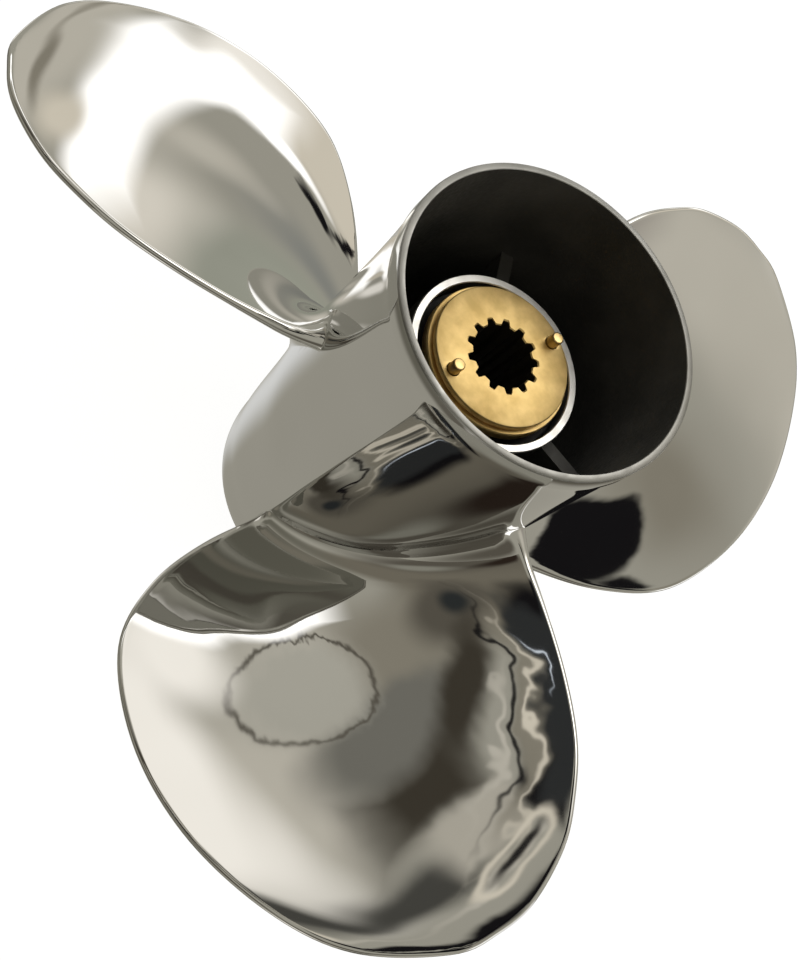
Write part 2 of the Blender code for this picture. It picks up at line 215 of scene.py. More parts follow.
outline = curve_through(blade_outline, outline_steps)
trailing = edge_line(outline[:tip_station * outline_steps + 1])
leading = edge_line(outline[tip_station * outline_steps:][::-1])


def edge_at_height(edge, height):
    """Where an edge stands at a height above the hub."""
    above = edge[0] - hub_radius(face_height(edge[0], edge[1]))
    rising = slice(0, len(above) // 2)
    radius = np.interp(height, above[rising], edge[0][rising])
    angle = np.interp(height, above[rising], edge[1][rising])
    return radius, angle, np.interp(height, above[rising], edge[2][rising])


def column_shares(chord):
    """Columns crowd where the edges are rounded and spread evenly between."""
    near = np.array(edge_columns)
    if chord < 6 * near[-1]:
        near = near * chord / (6 * near[-1])
    middle = np.linspace(near[-1], chord - near[-1], middle_columns + 2)[1:-1]
    return np.concatenate([near, middle, chord - near[::-1]]) / chord


def row_across(start, end):
    """Radius, angle and share of one row of points on the mid surface, between both edges."""
    ends = face_points(np.array([start[0], end[0]]), np.array([start[1], end[1]]))
    share = column_shares(np.linalg.norm(ends[1] - ends[0]))
    return start[0] + (end[0] - start[0]) * share, start[1] + (end[1] - start[1]) * share, share


def level_row(height):
    """A row that stays at one height above the hub."""
    ends = edge_at_height(leading, height), edge_at_height(trailing, height)
    radius, angle, share = row_across(*ends)
    for _ in range(5):
        radius = hub_radius(face_height(radius, angle)) + height
    return radius, angle, share


def distance_to_line(points, edge):
    """Distance of each point from the nearest place on an edge."""
    line = face_points(edge[0], edge[1])
    start, run = line[:-1], np.diff(line, axis=0)
    nearest = np.full(points.shape[:-1], 1.0)
    for p, d in zip(start, run):
        t = np.clip(((points - p) @ d) / (d @ d), 0, 1)
        nearest = np.minimum(nearest, np.linalg.norm(points - p - t[..., None] * d, axis=-1))
    return nearest


rows = [level_row(height) for height in root_rows]
travelled = [np.mean([edge_at_height(edge, height)[2] / edge[2][-1]
                      for edge in (leading, trailing)])
             for height in root_rows]
fillet_radius, _, fillet_share = rows[-1]
bow = fillet_radius - fillet_radius[0] - (fillet_radius[-1] - fillet_radius[0]) * fillet_share
top_of_fillet = [edge_at_height(edge, root_rows[-1]) for edge in (leading, trailing)]
for k in range(1, span_rows + 1):
    share = k / (span_rows + 0.02)
    ends, way = [], []
    for edge, foot in zip((leading, trailing), top_of_fillet):
        along = foot[2] + (edge[2][-1] - foot[2]) * share
        ends.append((np.interp(along, edge[2], edge[0]), np.interp(along, edge[2], edge[1])))
        way.append(along / edge[2][-1])
    travelled.append(np.mean(way))
    row_radius, row_angle, row_share = row_across(*ends)
    row_radius = row_radius + np.interp(row_share, fillet_share, bow) * (1 - share) ** 3
    rows.append((row_radius, row_angle, row_share))
radius = np.array([row[0] for row in rows])
angle = np.array([row[1] for row in rows])
share = np.array([row[2] for row in rows])

# The fillet widens the foot of the blade; its flank stands on the hub tangentially.
height_above_hub = radius - hub_radius(face_height(radius, angle))
into_fillet = np.clip(1 - height_above_hub / fillet_height, 0, 1)
fullness = fillet_share_at_ends + (1 - fillet_share_at_ends) * np.sin(math.pi * share) ** 4
full_flare = fillet_width * (1 - np.sqrt(np.maximum(1 - into_fillet ** 2, 0)))
flare = full_flare * fullness
points = face_points(radius, angle)
to_leading = distance_to_line(points, leading)
to_trailing = distance_to_line(points, trailing)
from_edge = np.minimum(to_leading, to_trailing)
soft_distance = (np.maximum(to_leading, 1e-6) ** -3
                 + np.maximum(to_trailing, 1e-6) ** -3) ** (-1 / 3)
blunt = edge_radius
for extra, reach, side in zip(root_nose, nose_reach, (1 - share, share)):
    blunt = blunt + extra * np.clip(1 - (radius - root_radius) / reach, 0, 1) ** 1.5 * side
nose = blunt + flare
span_share = np.clip((radius - root_radius) / (tip_radius - root_radius), 0, 1)
thickest = np.maximum(root_thickness + (tip_thickness - root_thickness) * span_share, 2 * blunt)
inward = np.clip((soft_distance - nose) / thickening_width, 0, 1)
thickness = 2 * blunt + (thickest - 2 * blunt) * inward ** 2 * (3 - 2 * inward)
bulge = np.sqrt(np.maximum(nose ** 2 - np.maximum(nose - from_edge, 0) ** 2, 0))
ramp = np.clip(from_edge / front_ramp, 0, 1)
front = bulge + (full_flare - flare) * ramp ** 2 * (3 - 2 * ramp)
back = np.where(from_edge < nose, -bulge, nose - thickness - 2 * flare)
_, lean_cosine = face_lean(radius, angle)

# The driving face is domed across, most near the hub and a little to the trailing side.
to_tip = 1 - np.array(travelled)[:, None]
dome = dome_height * 4 * share * (1 - share) * (0.6 + 0.7 * share)
dome = dome * (dome_at_hub * to_tip ** 4 + (1 - dome_at_hub) * to_tip)
angle = angle + (2 * share - 1) * flare * lean_cosine / radius


def blade_points(offset):
    """The blade's points, moved off the mid surface by the offset."""
    sine, cosine = face_lean(radius, angle)
    turned = angle - offset * sine / radius
    height = face_height(radius, angle) + dome + offset * cosine
    return np.stack([radius * np.cos(turned), radius * np.sin(turned), height], axis=-1)


front_points, back_points = blade_points(front), blade_points(back)
loops = np.concatenate([front_points, back_points[:, ::-1][:, 1:-1]], axis=1)


def belt_waves(points, phase):
    """Height of the slow waves that the grinding belt leaves; they fade out at the hub."""
    x, y = points[..., 0], points[..., 1]
    away_from_hub = np.clip((np.hypot(x, y) - root_radius) / wave_fade, 0, 1)
    # Radians to the metre: a wave is some 40 to 60 mm long, bent by a slower one
    across = np.sin(150 * x + 2 * np.sin(90 * y + phase))
    along = np.sin(120 * y + 1.5 * np.sin(110 * x - phase))
    return wave_height * away_from_hub * (across + along)


def blade(name, azimuth):
    """A grid is rolled into a sleeve round the blade and closed at its foot and tip."""
    count_rows, count_round = loops.shape[:2]
    waved = loops.copy()
    waved[..., 2] += belt_waves(loops, azimuth)
    bpy.ops.object.select_all(action="DESELECT")
    bpy.ops.mesh.primitive_grid_add(x_subdivisions=count_round, y_subdivisions=count_rows - 1,
                                    size=1)
    piece = bpy.context.object
    piece.name = name
    place = np.zeros(len(piece.data.vertices) * 3)
    piece.data.vertices.foreach_get("co", place)
    place = place.reshape(-1, 3)
    column = np.rint((place[:, 0] + 0.5) * count_round).astype(int) % count_round
    row = np.rint((place[:, 1] + 0.5) * (count_rows - 1)).astype(int)
    piece.data.vertices.foreach_set("co", waved[row, column].astype(np.float32).ravel())
    bpy.ops.object.mode_set(mode="EDIT")
    bpy.ops.mesh.select_all(action="SELECT")
    bpy.ops.mesh.remove_doubles(threshold=0.000005)
    bpy.ops.mesh.select_all(action="DESELECT")
    bpy.ops.mesh.select_non_manifold()
    bpy.ops.mesh.edge_face_add()
    bpy.ops.mesh.fill_holes(sides=0)
    bpy.ops.mesh.select_all(action="SELECT")
    bpy.ops.mesh.normals_make_consistent(inside=False)
    bpy.ops.object.mode_set(mode="OBJECT")
    piece.data.transform(Matrix.Rotation(azimuth, 4, "Z"))
    return piece


blades = [blade(f"blade_{k + 1}", first_blade + math.radians(120 * k)) for k in range(3)]


def combine_solids(operation, base, others):
    """Joins the others to the base or cuts them from it, and removes them."""
    for other in others:
        step = base.modifiers.new("solids", "BOOLEAN")
        step.operation = operation
        step.solver = "EXACT"
        step.object = other
        bpy.context.view_layer.objects.active = base
        bpy.ops.object.modifier_apply(modifier=step.name)
        bpy.data.objects.remove(other, do_unlink=True)


def smooth_by_angle(piece, degrees):
    """Smooth shading, apart from edges that turn by more than the angle."""
    bpy.ops.object.select_all(action="DESELECT")
    piece.select_set(True)
    bpy.context.view_layer.objects.active = piece
    bpy.ops.object.shade_smooth_by_angle(angle=math.radians(degrees))


combine_solids("UNION", casting, [tube, *ribs, *blades])
smooth_by_angle(casting, 32)


# Finishes of the casting. Outside it is buffed to a mirror with a faint haze; inside it keeps
# the black as-cast skin. The tube's end is turned bright. The mouth's lip is turned steel with
# painted shade: its colour is darkened so it mirrors less light than the tube's end.
def finish(name, colour, metallic, roughness):
    """A material with its shader and its object coordinates."""
    material = bpy.data.materials.new(name)
    material.use_nodes = True
    tree = material.node_tree
    shader = tree.nodes["Principled BSDF"]
    shader.inputs["Base Color"].default_value = (*colour, 1)
    shader.inputs["Metallic"].default_value = metallic
    shader.inputs["Roughness"].default_value = roughness
    place = tree.nodes.new("ShaderNodeTexCoord").outputs["Object"]
    return material, shader, place


def noise(place, scale, detail, stretch=(1, 1, 1)):
    """Noise on the given coordinates, stretched along an axis where asked."""
    tree = place.id_data
    if stretch != (1, 1, 1):
        mapping = tree.nodes.new("ShaderNodeMapping")
        mapping.inputs["Scale"].default_value = stretch
        tree.links.new(place, mapping.inputs["Vector"])
        place = mapping.outputs["Vector"]
    texture = tree.nodes.new("ShaderNodeTexNoise")
    texture.inputs["Scale"].default_value = scale
    texture.inputs["Detail"].default_value = detail
    tree.links.new(place, texture.inputs["Vector"])
    return texture.outputs["Fac"]


def turning_marks(place, grooves_per_metre):
    """Fine rings round the shaft axis; at scale 1 the texture has about 3.2 to the metre."""
    tree = place.id_data
    wave = tree.nodes.new("ShaderNodeTexWave")
    wave.wave_type = "RINGS"
    wave.rings_direction = "Z"
    wave.inputs["Scale"].default_value = grooves_per_metre / 3.2
    wave.inputs["Distortion"].default_value = 0.6
    wave.inputs["Detail Scale"].default_value = 40
    tree.links.new(place, wave.inputs["Vector"])
    return wave.outputs["Fac"]


def spread(pattern, low, high):
    """A noise, which seldom leaves 0.3 to 0.7, becomes a value between low and high."""
    tree = pattern.id_data
    node = tree.nodes.new("ShaderNodeMapRange")
    for name, number in (("From Min", 0.3), ("From Max", 0.7), ("To Min", low), ("To Max", high)):
        node.inputs[name].default_value = number
    tree.links.new(pattern, node.inputs["Value"])
    return node.outputs["Result"]


def colour_mix(tree, factor):
    """A colour Mix node with its two colour inputs and its colour output."""
    node = tree.nodes.new("ShaderNodeMix")
    node.data_type = "RGBA"
    tree.links.new(factor, node.inputs["Factor"])
    first, second = (socket for socket in node.inputs if socket.type == "RGBA")
    return first, second, next(socket for socket in node.outputs if socket.type == "RGBA")


def vary_colour(shader, pattern, first_colour, second_colour):
    """The colour moves between two colours with the pattern."""
    tree = shader.id_data
    first, second, result = colour_mix(tree, spread(pattern, 0, 1))
    first.default_value = (*first_colour, 1)
    second.default_value = (*second_colour, 1)
    tree.links.new(result, shader.inputs["Base Color"])


def vary_roughness(shader, pattern, low, high):
    """The roughness moves between two values with the pattern."""
    shader.id_data.links.new(spread(pattern, low, high), shader.inputs["Roughness"])


def raise_surface(shader, *reliefs):
    """Each relief is a height pattern and its depth in metres."""
    tree = shader.id_data
    normal = None
    for height, depth in reliefs:
        bump = tree.nodes.new("ShaderNodeBump")
        bump.inputs["Distance"].default_value = depth
        tree.links.new(height, bump.inputs["Height"])
        if normal is not None:
            tree.links.new(normal, bump.inputs["Normal"])
        normal = bump.outputs["Normal"]
    tree.links.new(normal, shader.inputs["Normal"])


def dress(piece, *finishes):
    """Only these finishes are left on the piece, in this order."""
    piece.data.materials.clear()
    for material in finishes:
        piece.data.materials.append(material)


polished, shader, place = finish("polished_steel_finish", (0.70, 0.70, 0.693), 1.0, 0.04)
haze = noise(place, 24, 1)
vary_roughness(shader, haze, 0.012, 0.045)
vary_colour(shader, haze, (0.71, 0.71, 0.703), (0.68, 0.68, 0.67))

cast_skin, shader, place = finish("as_cast_black", (0.055, 0.055, 0.052), 0.0, 0.42)
shader.inputs["Specular IOR Level"].default_value = 0.3
grain = noise(place, 700, 1)
vary_colour(shader, noise(place, 60, 2), (0.042, 0.042, 0.040), (0.072, 0.070, 0.065))
vary_roughness(shader, grain, 0.36, 0.52)
raise_surface(shader, (grain, 0.00012))

turned_steel, shader, place = finish("turned_steel", (0.74, 0.735, 0.72), 1.0, 0.36)
vary_roughness(shader, noise(place, 240, 3), 0.28, 0.42)
raise_surface(shader, (turning_marks(place, 4000), 0.000001))

# Painted shade: the lip's turned steel is darkened, a dimmer reflection painted into its colour
lip_steel_painted_shade, shader, place = finish("lip_steel_painted_shade", (0.33, 0.33, 0.32), 1.0, 0.36)
vary_roughness(shader, noise(place, 200, 2), 0.30, 0.46)
vary_colour(shader, noise(place, 90, 2), (0.37, 0.37, 0.36), (0.28, 0.28, 0.27))

dress(casting, polished, cast_skin, turned_steel, lip_steel_painted_shade)
on_outside, on_inside, on_tube_end, on_lip = range(4)
inside_upwards = inside_curve[::-1]
tube_end_height, tube_end_radius, lip_height, skin_depth = 0.1144, 0.0296, 0.1467, 0.0005
for face in casting.data.polygons:
    height = face.center.z - forward_face
    out = math.hypot(face.center.x, face.center.y)
    inside_radius = np.interp(height, inside_upwards[:, 0], inside_upwards[:, 1])
    if height > tube_end_height and out < tube_end_radius:
        face.material_index = on_tube_end
    elif height > lip_height:
        face.material_index = on_lip
    elif out < inside_radius + skin_depth:
        face.material_index = on_inside
    else:
        face.material_index = on_outside
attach(casting, "root")
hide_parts("propeller_casting")


# Rubber bush. A thick sleeve of black rubber, moulded round the brass and pressed into the
# inner tube; it slips when a blade hits something. Its ends have soft moulded lips.
tube_bore, sleeve_radius, gap = 0.0274, 0.0165, 0.0003
rubber_bottom, rubber_top, rubber_lip = 0.0240, 0.1090, 0.0011
outer, inner = tube_bore - gap, sleeve_radius + gap
rubber_profile = [(rubber_bottom, outer), (rubber_top - rubber_lip, outer)]
for step in range(1, 6):
    turn = math.radians(18 * step)
    height = rubber_top - rubber_lip * (1 - math.sin(turn))
    rubber_profile.append((height, outer - rubber_lip * (1 - math.cos(turn))))
rubber_profile += [(rubber_top - 0.0006, outer - 0.0024), (rubber_top - 0.0009, outer - 0.0050),
                   (rubber_top - 0.0006, inner + 0.0022), (rubber_top - 0.0001, inner + 0.0009),
                   (rubber_top - 0.0004, inner), (rubber_bottom, inner)]
rubber = turn_profile("rubber_sleeve", rubber_profile + rubber_profile[:1], 144)
smooth_by_angle(rubber, 40)
black_rubber, shader, place = finish("bonded_rubber", (0.014, 0.014, 0.014), 0.0, 0.62)
vary_colour(shader, noise(place, 120, 4), (0.010, 0.010, 0.010), (0.022, 0.021, 0.020))
vary_roughness(shader, noise(place, 400, 3), 0.52, 0.75)
raise_surface(shader, (noise(place, 1400, 3), 0.00006))
dress(rubber, black_rubber)
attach(rubber, "root")
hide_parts("rubber_bush")


# Splined bush. A brass sleeve that takes the shaft's torque, turned with a stepped and
# grooved flange at its aft end, broached with 13 spline grooves and drilled for two pins.
bush_bottom, face_top = 0.0200, 0.1197
bush_profile = [(bush_bottom, 0.0060), (bush_bottom, 0.0161), (bush_bottom + 0.0004, 0.0165),
                (0.1130, 0.0165), (0.1130, 0.0242), (0.1133, 0.0245), (0.1165, 0.0245),
                (0.1168, 0.0242), (0.1168, 0.0226), (0.11695, 0.0224), (0.11745, 0.0224),
                (0.1176, 0.0226), (0.1176, 0.0230), (0.1178, 0.02317), (0.1192, 0.02317),
                (0.11955, 0.0230), (face_top, 0.02265), (face_top, 0.0060)]
bush = turn_profile("brass_bush", bush_profile + bush_profile[:1], 192)
spline_count, spline_azimuth = 13, math.radians(19.0)
groove_bottom, land = 0.0123, 0.0103
groove_opening, groove_floor = 0.32, 0.13
steps_per_groove, mouth_chamfer, broach_overrun = 20, 0.00035, 0.005
pin_circle, pin_azimuth, pin_radius = 0.0195, math.radians(72.2), 0.0020
pin_bottom, pin_top, bar_sides = 0.1153, 0.1237, 48


def spline_radius(azimuth):
    """Lands and grooves of the bore, with the soft corners that a broach leaves."""
    share = ((azimuth - spline_azimuth) / math.tau * spline_count + 0.5) % 1 - 0.5
    depth = np.clip((groove_opening - abs(share)) / (groove_opening - groove_floor), 0, 1)
    return land + (groove_bottom - land) * depth ** 2 * (3 - 2 * depth)


bpy.ops.object.select_all(action="DESELECT")
bpy.ops.mesh.primitive_circle_add(vertices=spline_count * steps_per_groove, radius=1,
                                  fill_type="NGON")
broach = bpy.context.object
for vertex in broach.data.vertices:
    azimuth = math.atan2(vertex.co.y, vertex.co.x)
    radius_there = spline_radius(azimuth)
    vertex.co = Vector((radius_there * math.cos(azimuth), radius_there * math.sin(azimuth), 0))
bpy.ops.object.mode_set(mode="EDIT")
bpy.ops.mesh.select_all(action="SELECT")
bpy.ops.transform.translate(value=(0, 0, forward_face + bush_bottom - broach_overrun))
straight = face_top - bush_bottom + broach_overrun - mouth_chamfer
for rise, widening in ((straight, 0), (2 * mouth_chamfer, 2 * mouth_chamfer)):
    bpy.ops.mesh.extrude_region_move(TRANSFORM_OT_translate={"value": (0, 0, rise)})
    scale = 1 + widening / land
    bpy.ops.transform.resize(value=(scale, scale, 1), center_override=(0, 0, 0))
bpy.ops.mesh.select_all(action="SELECT")
bpy.ops.mesh.normals_make_consistent(inside=False)
bpy.ops.object.mode_set(mode="OBJECT")


def round_bar(name, azimuth, radius, bottom, top):
    """An upright cylinder on the pin circle, between two heights above the forward end."""
    bpy.ops.object.select_all(action="DESELECT")
    middle = forward_face + (bottom + top) / 2
    place = (pin_circle * math.cos(azimuth), pin_circle * math.sin(azimuth), middle)
    bpy.ops.mesh.primitive_cylinder_add(vertices=bar_sides, radius=radius, depth=top - bottom,
                                        location=place)
    bar = bpy.context.object
    bar.name = name
    bpy.ops.object.transform_apply(location=True, rotation=True, scale=True)
    return bar


drill_radius = pin_radius + gap
drills = [round_bar("drill", pin_azimuth + math.pi * k, drill_radius, pin_bottom - gap, pin_top)
          for k in range(2)]
combine_solids("DIFFERENCE", bush, [broach, *drills])
smooth_by_angle(bush, 25)

tarnish_and_shade_scale = 170
brass, shader, place = finish("turned_brass", (0.75, 0.55, 0.24), 1.0, 0.33)
vary_colour(shader, noise(place, tarnish_and_shade_scale, 4), (0.96, 0.72, 0.33), (0.70, 0.50, 0.20))
vary_roughness(shader, noise(place, 60, 3), 0.40, 0.55)
raise_surface(shader, (turning_marks(place, 2600), 0.000001), (noise(place, 420, 2), 0.00004))

# The bore is painted near-black, as shade deep in its recess, from just below its mouth
painted_shade_bore, shader, place = finish("painted_shade_bore", (0.012, 0.010, 0.007), 0.0, 0.5)
vary_roughness(shader, noise(place, 500, 3), 0.4, 0.6)
vary_colour(shader, noise(place, tarnish_and_shade_scale, 4), (0.008, 0.007, 0.005), (0.020, 0.015, 0.008))
dress(bush, brass, painted_shade_bore)
# Faces deep in the bore take the painted shade; the brass tarnish noise also mottles that shade
bore_shade_radius, bore_shade_from = groove_bottom + 0.0002, 0.001
for face in bush.data.polygons:
    out = math.hypot(face.center.x, face.center.y)
    down = face_top - (face.center.z - forward_face)
    face.material_index = int(out < bore_shade_radius and down > bore_shade_from)
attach(bush, "root")
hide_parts("splined_bush")


# Pins. Two short brass pins pressed into the bush's face, which keep the washer under the
# nut from turning. Their aft ends are rounded over.
pin_brass, shader, place = finish("drawn_brass", (0.74, 0.54, 0.24), 1.0, 0.30)
vary_colour(shader, noise(place, 300, 4), (0.78, 0.58, 0.28), (0.60, 0.42, 0.17))
raise_surface(shader, (noise(place, 1500, 2, (1, 1, 0.1)), 0.00002))
for number in (1, 2):
    azimuth = pin_azimuth + math.pi * (number - 1)
    pin = round_bar(f"brass_pin_{number}", azimuth, pin_radius, pin_bottom, pin_top)
    rounding = pin.modifiers.new("rounding", "BEVEL")
    rounding.width = 0.0005
    rounding.segments = 4
    rounding.angle_limit = math.radians(60)
    bpy.ops.object.modifier_apply(modifier=rounding.name)
    smooth_by_angle(pin, 35)
    dress(pin, pin_brass)
    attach(pin, "root")
    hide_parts(f"pin_{number}")


# Floor. A plain pale studio sweep: flat under the propeller and rising far behind it. Close to
# the propeller the paper takes its soft shade; farther out it only glows, and comes out white.
# Mirrors look past it, at the studio's cards.
lit_paper_radius = 0.12
sweep_profile = [(0.0, 0.001), (0.0, lit_paper_radius), (0.0, 1.2), (0.03, 1.6), (0.15, 2.0),
                 (0.45, 2.35), (1.0, 2.55), (2.0, 2.5), (2.8, 1.9), (3.1, 0.8), (3.15, 0.001)]
sweep = turn_profile("studio_sweep", [tuple(p) for p in curve_through(sweep_profile, 4)], 96)
smooth_by_angle(sweep, 60)


def paper_finish(name, reflected, glow, roughness):
    """Matt paper that throws back a share of the light and glows by itself."""
    material, shader, place = finish(name, (reflected,) * 3, 0.0, roughness)
    shader.inputs["Specular IOR Level"].default_value = 0.0
    shader.inputs["Emission Color"].default_value = (1.0, 1.0, 0.995, 1)
    shader.inputs["Emission Strength"].default_value = glow
    return material, shader, place


pale_paper, shader, place = paper_finish("pale_paper", 0.30, 0.94, 0.9)
vary_colour(shader, noise(place, 40, 1), (0.29, 0.29, 0.29), (0.31, 0.31, 0.31))
far_paper, _, _ = paper_finish("far_paper", 0.0, 1.05, 1.0)
dress(sweep, pale_paper, far_paper)
for face in sweep.data.polygons:
    near = math.hypot(face.center.x, face.center.y) < lit_paper_radius and face.center.z < 0
    face.material_index = 0 if near else 1
for part_of_light in ("visible_glossy", "visible_diffuse", "visible_shadow", "visible_transmission"):
    setattr(sweep, part_of_light, False)


# Studio light. Soft cards and dark flags hang all round; each blade mirrors its own few.
# They stand at an azimuth and an elevation in degrees, the overhead ones in hundredths.
world = bpy.data.worlds.new("studio")
world.use_nodes = True
bpy.context.scene.world = world
world.cycles.sampling_method = "NONE"
bpy.context.scene.view_settings.view_transform = "Standard"
studio = world.node_tree
background = studio.nodes["Background"]


def calculate(operation, first, second=None):
    """A Math node on numbers or on outputs of other nodes."""
    node = studio.nodes.new("ShaderNodeMath")
    node.operation = operation
    for socket, value in zip(node.inputs, (first, second)):
        if isinstance(value, (int, float)):
            socket.default_value = value
        elif value is not None:
            studio.links.new(value, socket)
    return node.outputs["Value"]


def calculate_vector(operation, first, second=None, third=None):
    """A Vector Math node; a measure comes out as one number, the rest as a vector."""
    node = studio.nodes.new("ShaderNodeVectorMath")
    node.operation = operation
    for socket, value in zip(node.inputs, (first, second, third)):
        if isinstance(value, tuple):
            socket.default_value = value
        elif value is not None:
            studio.links.new(value, socket)
    return node.outputs["Value" if operation in ("LENGTH", "DOT_PRODUCT") else "Vector"]


def combine(x, y):
    node = studio.nodes.new("ShaderNodeCombineXYZ")
    studio.links.new(x, node.inputs["X"])
    studio.links.new(y, node.inputs["Y"])
    return node.outputs["Vector"]


split = studio.nodes.new("ShaderNodeSeparateXYZ")
direction = studio.nodes.new("ShaderNodeTexCoord").outputs["Generated"]
studio.links.new(direction, split.inputs["Vector"])
degrees = 180 / math.pi
# The azimuth runs from -90 to 270 degrees, and starts anew where few cards hang
turned = calculate("MULTIPLY", calculate("ARCTAN2", split.outputs["Y"], split.outputs["X"]), degrees)
wrapped = calculate("FLOORED_MODULO", calculate("ADD", turned, 90), 360)
azimuth = calculate("SUBTRACT", wrapped, 90)
elevation = calculate("MULTIPLY", calculate("ARCSINE", split.outputs["Z"]), degrees)
all_round = combine(azimuth, elevation)
# Straight overhead the azimuth runs together, so those cards are placed on the ceiling, in
# hundredths of its radius; what lies below the horizon is moved far off it
hundredths, far_off = 100, 1000
below = calculate("LESS_THAN", split.outputs["Z"], 0)
ceiling_x = calculate("MULTIPLY", split.outputs["X"], hundredths)
ceiling_y = calculate("ADD", calculate("MULTIPLY", split.outputs["Y"], hundredths),
                      calculate("MULTIPLY", below, far_off))
overhead = combine(ceiling_x, ceiling_y)


def rippled(place, reach, scale):
    """Coordinates that wander by up to reach, which frays a card's outline."""
    texture = studio.nodes.new("ShaderNodeTexNoise")
    texture.inputs["Scale"].default_value = scale
    texture.inputs["Detail"].default_value = 2
    studio.links.new(place, texture.inputs["Vector"])
    wander = calculate_vector("MULTIPLY_ADD", texture.outputs["Color"], (2 * reach, 2 * reach, 0),
                              (-reach, -reach, 0))
    return calculate_vector("ADD", place, wander)


steady, wavy = all_round, rippled(all_round, 1.6, 0.13)
jagged, frayed = rippled(all_round, 3.0, 0.26), rippled(all_round, 1.4, 0.45)
ceiling, meandering = rippled(overhead, 1.6, 0.15), rippled(overhead, 9.5, 0.09)
steel_reflects = 0.70


def shown(red, green, blue, lift=1.0):
    """Light of a card that shows as this colour, from 0 to 255, in the polished steel."""
    return tuple(lift * (part / 255) ** 2.2 / steel_reflects for part in (red, green, blue))


def on_card(place, middle, half_size, turn):
    """Coordinates on a card: 0 at its middle, 1 at its sides, turned with it."""
    (x, y), (width, height) = middle, half_size
    if turn == 0:
        scale = (1 / width, 1 / height, 0)
        return calculate_vector("MULTIPLY_ADD", place, scale, (-x / width, -y / height, 0))
    sine, cosine = math.sin(math.radians(turn)), math.cos(math.radians(turn))
    from_middle = calculate_vector("SUBTRACT", place, (x, y, 0))
    along = calculate_vector("DOT_PRODUCT", from_middle, (cosine / width, sine / width, 0))
    up = calculate_vector("DOT_PRODUCT", from_middle, (-sine / height, cosine / height, 0))
    return combine(along, up)


def card(colour, place, middle, half_size, turn, softness, form="round"):
    """Paints a round or square card, or only its rim, over what is there."""
    global painted
    place_on_card = on_card(place, middle, half_size, turn)
    if form == "square":
        sides = studio.nodes.new("ShaderNodeSeparateXYZ")
        studio.links.new(calculate_vector("ABSOLUTE", place_on_card), sides.inputs["Vector"])
        distance = calculate("MAXIMUM", sides.outputs["X"], sides.outputs["Y"])
    else:
        distance = calculate_vector("LENGTH", place_on_card)
    low, high = 1 - softness, 1 + softness
    if form == "rim":
        distance = calculate("ABSOLUTE", calculate("SUBTRACT", distance, 1))
        low, high = 0, softness
    edge = studio.nodes.new("ShaderNodeMapRange")
    edge.interpolation_type = "SMOOTHSTEP"
    for name, number in (("From Min", low), ("From Max", high), ("To Min", 1), ("To Max", 0)):
        edge.inputs[name].default_value = number
    studio.links.new(distance, edge.inputs["Value"])
    under, over, result = colour_mix(studio, edge.outputs["Result"])
    if isinstance(painted, tuple):
        under.default_value = (*painted, 1)
    else:
        studio.links.new(painted, under)
    over.default_value = (*colour, 1)
    painted = result


window, lit_wall = shown(255, 253, 250, 1.35), shown(236, 231, 222)
cream, pale_grey, beige = shown(196, 188, 172), shown(176, 171, 159), shown(164, 159, 147)
mid_grey, green_grey, brown_grey = shown(146, 143, 132), shown(139, 140, 128), shown(124, 119, 107)
dark_wall, dusk = shown(103, 98, 87), shown(82, 78, 70)
dark_brown, soot = shown(58, 54, 47), shown(26, 25, 26)
painted = mid_grey

# Floor side, the dark end of the room, and the panels that light the brass and the far sides
card(shown(141, 138, 128), steady, (90, -62), (400, 28), 0, 0.3, "square")
card(dark_wall, steady, (228, 30), (42, 19), 0, 0.25)
card(dusk, steady, (266, 18), (30, 20), 0, 0.5)
card(shown(96, 94, 84), steady, (192, 11), (24, 9), 0, 0.5)
card(shown(44, 37, 32), steady, (262, 31), (13, 5), 0, 0.5)
card(shown(122, 120, 110), steady, (246, 19), (9, 6), 0, 0.6)
card(shown(192, 192, 190), steady, (138, -55), (24, 12), 0, 0.8)
card(shown(124, 124, 118), steady, (80, 0), (9, 8), 0, 0.9)
card(dusk, steady, (-62, 18), (30, 18), 0, 0.5)
card(window, steady, (4, 9), (16, 12), 0, 0.25, "square")
card(dusk, steady, (90, -40), (400, 6), 0, 0.9, "square")
low_panels = [(-64, 9, 12, lit_wall), (-38, 6, 13, soot), (-22, 8, 12, pale_grey),
              (22, 7, 13, dusk), (44, 8, 12, window), (66, 5, 12, dark_wall),
              (152, 7, 12, lit_wall), (220, 55, 20, shown(97, 95, 85)), (176, 6, 12, dusk),
              (202, 8, 12, brown_grey), (240, 9, 13, dusk)]
panel_elevation = -24
for middle, width, height, colour in low_panels:
    card(colour, wavy, (middle, panel_elevation), (width, height), 0, 0.5)
card(shown(255, 251, 243, 2.1), steady, (84, 57), (28, 15), 0, 0.6)

# Mirrored by the blade at the upper left
card(green_grey, steady, (100, -18), (18, 12), 0, 0.7)
card(cream, steady, (74, 35), (16, 9), 0, 0.3)
card(shown(204, 198, 186), steady, (107, -1), (8, 8), 0, 0.8)
card(pale_grey, steady, (93, 10), (7, 4), 0, 0.8)
card(lit_wall, steady, (86, 29), (10, 4.5), -28, 0.6)
card(window, steady, (102, 12.8), (12, 3.8), -50, 0.5, "square")
card(window, steady, (89.5, 24.2), (11, 3.1), -25, 0.4, "square")
card(window, steady, (78, 25.5), (6, 1.2), -4, 0.5)
card(pale_grey, steady, (108, 20), (8, 4.0), -18, 0.5)
card(cream, steady, (108, 13.5), (3, 2.4), 0, 0.6)
card(brown_grey, steady, (108, 19), (3.5, 0.8), -55, 0.6)
card(lit_wall, steady, (121, 5), (6, 4.5), 0, 0.6)
card(soot, jagged, (67.5, 26), (5.5, 0.9), -48, 0.5)
card(soot, jagged, (73.5, 22), (2.6, 1.3), 35, 0.5)

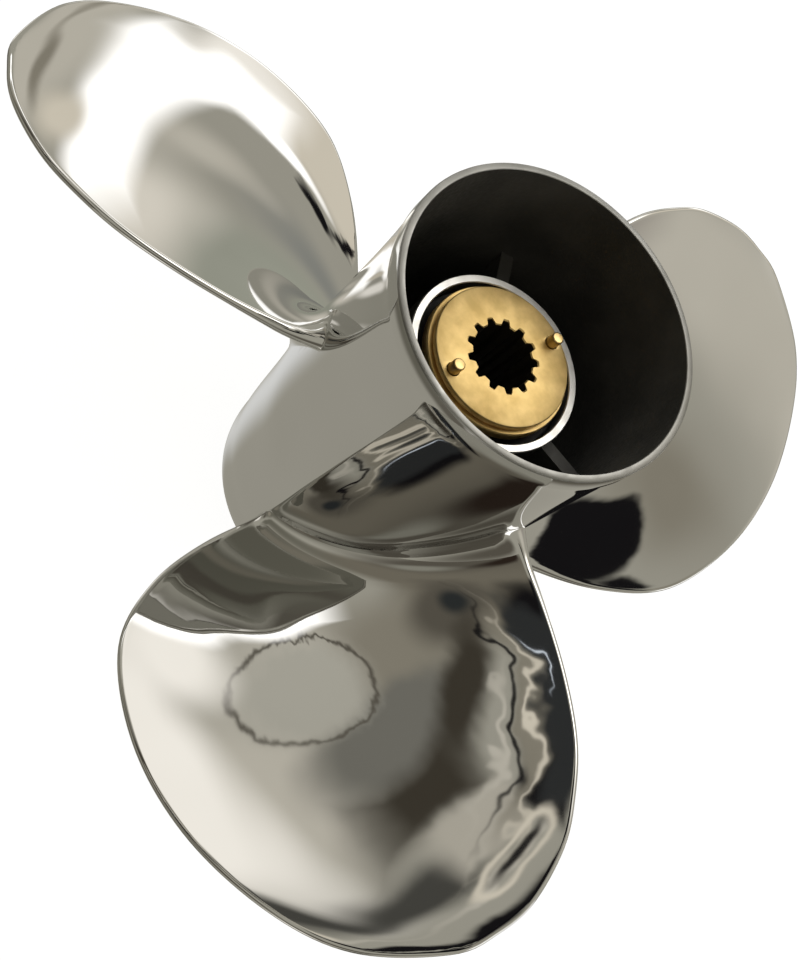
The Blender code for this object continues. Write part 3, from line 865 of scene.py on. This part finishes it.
# Mirrored by the lower blade, from the window side over to the dark end of the room
card(pale_grey, steady, (140, 50), (14, 10), 25, 0.6)
card(lit_wall, steady, (128, 50), (21, 5.5), 44, 0.45)
card(pale_grey, steady, (149, 37), (18, 7), 0, 0.5)
card(brown_grey, steady, (176, 38), (22, 10), -6, 0.6)
card(dusk, steady, (202, 35), (16, 7), -6, 0.4)
card(shown(104, 102, 95), wavy, (166, 48), (21, 6.5), -4, 0.3)
card(shown(66, 65, 61), wavy, (152, 66.2), (11, 3.2), 4, 0.5)
card(shown(44, 46, 46), steady, (204.5, 34.5), (5, 3), 0, 0.5)
card(dark_brown, wavy, (162, 57), (12, 3.8), -2, 0.5, "square")
card(dark_brown, wavy, (186, 48), (19, 4.2), -24, 0.5)
card(beige, wavy, (167, 64), (11, 3.4), -3, 0.3, "square")
card(soot, wavy, (165, 79), (56, 3.6), 0, 0.3, "square")
card(pale_grey, wavy, (164, 70.5), (15, 0.7), -3, 0.5)
card(soot, wavy, (191, 64), (14, 4.5), -20, 0.25, "square")
card(soot, wavy, (217, 51), (16, 8), -50, 0.3)
card(shown(46, 47, 47), meandering, (-46, -23), (26, 8.5), 57, 0.25)
card(brown_grey, meandering, (-52, -14), (25, 2.4), 57, 0.6)
card(pale_grey, meandering, (-54, -3), (15, 0.9), 57, 0.6)
card(soot, meandering, (-57, -15), (30, 0.9), 57, 0.4)
card(cream, meandering, (-51, -15), (25, 0.55), 57, 0.7)
card(shown(218, 226, 236), meandering, (-54, -27), (7, 0.4), 57, 0.5)
card(cream, ceiling, (-33, 7), (8, 3.2), 67, 0.3, "rim")
card(soot, ceiling, (-33, 7), (5, 1.1), 67, 0.5)
card(shown(160, 157, 146), frayed, (148, 38.5), (16, 6.2), 0, 0.4)
card(dusk, frayed, (149, 38.5), (17, 6.8), 0, 0.08, "rim")
card(lit_wall, steady, (122, 35), (10, 4.5), 10, 0.6)
card(window, steady, (137, 29.6), (24, 2.2), -4, 0.4, "square")

# Mirrored by the blade on the right, from straight overhead
card(pale_grey, overhead, (52, 45), (24, 18), 40, 0.6)
card(brown_grey, overhead, (34, 0), (20, 12), -15, 0.7)
card(shown(140, 134, 126), overhead, (68, 66), (14, 9), -40, 0.8)
card(soot, ceiling, (17, -15), (28, 11), -17, 0.12)
card(soot, ceiling, (-2, 5), (5, 7), 0, 0.25)
studio.links.new(painted, background.inputs["Color"])

# A soft lamp that mirrors don't show, for the shade on the brass, the inside and the floor
softbox_data = bpy.data.lights.new("softbox", "AREA")
softbox_data.energy = 3
softbox_data.size = 0.7
softbox = bpy.data.objects.new("softbox", softbox_data)
softbox.location = (-0.5, 0.4, 0.9)
softbox.rotation_euler = (-softbox.location).to_track_quat("-Z", "Y").to_euler()
softbox.visible_glossy = False
bpy.context.scene.collection.objects.link(softbox)
